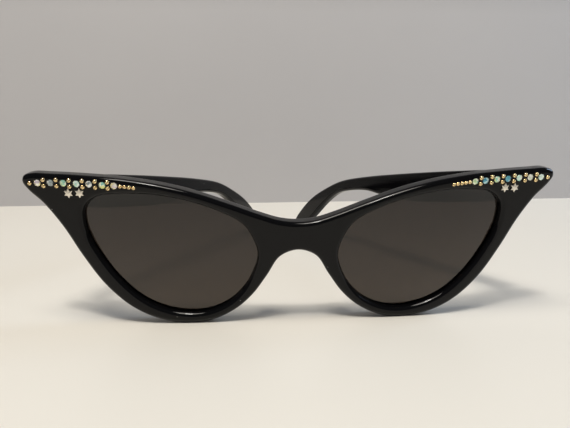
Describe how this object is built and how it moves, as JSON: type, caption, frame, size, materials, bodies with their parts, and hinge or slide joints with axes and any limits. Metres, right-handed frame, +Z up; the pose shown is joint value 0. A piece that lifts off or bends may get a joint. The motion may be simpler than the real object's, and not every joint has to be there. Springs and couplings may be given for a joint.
{
  "type": "cat eye sunglasses",
  "caption": "Cat eye sunglasses: glossy black front with jewelled, upswept wings, dark tinted lenses and curved temples that fold on riveted hinges.",
  "frame": {"origin": "centre of the base of the overall box, on the surface that the glasses stand on", "axes": "+X to the viewer's right along the front, +Y from the front towards the temple tips, +Z up"},
  "size_m": [0.1426, 0.1162, 0.0432],
  "materials": {
    "black_acetate": "polished black cellulose acetate",
    "tinted_lens": "dark grey-brown tint, polished",
    "crystal": "foil-backed rhinestone with an iridescent coat",
    "brass_studs": "polished domed brass",
    "star_metal": "champagne-silver plated star heads",
    "hinge_metal": "nickel-silver hinge parts, satin"
  },
  "bodies": {
    "front": {"front_frame": "black_acetate", "lens_left": "tinted_lens", "nose_pad_left": "black_acetate", "front_hinge_left": "hinge_metal", "hinge_screw_left": "hinge_metal", "rhinestone_left_1": "crystal", "rhinestone_left_2": "crystal", "rhinestone_left_3": "crystal", "rhinestone_left_4": "crystal", "rhinestone_left_5": "crystal", "rhinestone_left_6": "crystal", "rhinestone_left_7": "crystal", "stud_pair_left_1": "brass_studs", "stud_pair_left_2": "brass_studs", "stud_pair_left_3": "brass_studs", "stud_pair_left_4": "brass_studs", "stud_pair_left_5": "brass_studs", "stud_pair_left_6": "brass_studs", "star_rivet_left_1": "star_metal", "star_rivet_left_2": "star_metal", "tip_stud_left": "brass_studs", "bead_row_left": "brass_studs", "lens_right": "tinted_lens", "nose_pad_right": "black_acetate", "front_hinge_right": "hinge_metal", "hinge_screw_right": "hinge_metal", "rhinestone_right_1": "crystal", "rhinestone_right_2": "crystal", "rhinestone_right_3": "crystal", "rhinestone_right_4": "crystal", "rhinestone_right_5": "crystal", "rhinestone_right_6": "crystal", "rhinestone_right_7": "crystal", "stud_pair_right_1": "brass_studs", "stud_pair_right_2": "brass_studs", "stud_pair_right_3": "brass_studs", "stud_pair_right_4": "brass_studs", "stud_pair_right_5": "brass_studs", "stud_pair_right_6": "brass_studs", "star_rivet_right_1": "star_metal", "star_rivet_right_2": "star_metal", "tip_stud_right": "brass_studs", "bead_row_right": "brass_studs"},
    "temple_left": {"temple_left": "black_acetate", "temple_core_left": "hinge_metal", "temple_hinge_left": "hinge_metal", "temple_rivet_left_1": "hinge_metal", "temple_rivet_left_2": "hinge_metal"},
    "temple_right": {"temple_right": "black_acetate", "temple_core_right": "hinge_metal", "temple_hinge_right": "hinge_metal", "temple_rivet_right_1": "hinge_metal", "temple_rivet_right_2": "hinge_metal"}
  },
  "joints": [
    {"name": "left_temple_fold", "type": "hinge", "parent": "front", "child": "temple_left", "pos_m": [-0.0615, -0.04655, 0.03798], "axis": [0, -0.1582, -0.9874], "range_deg": [-27, 48]},
    {"name": "right_temple_fold", "type": "hinge", "parent": "front", "child": "temple_right", "pos_m": [0.0615, -0.04655, 0.03798], "axis": [0, 0.1582, 0.9874], "range_deg": [-27, 63]}
  ]
}
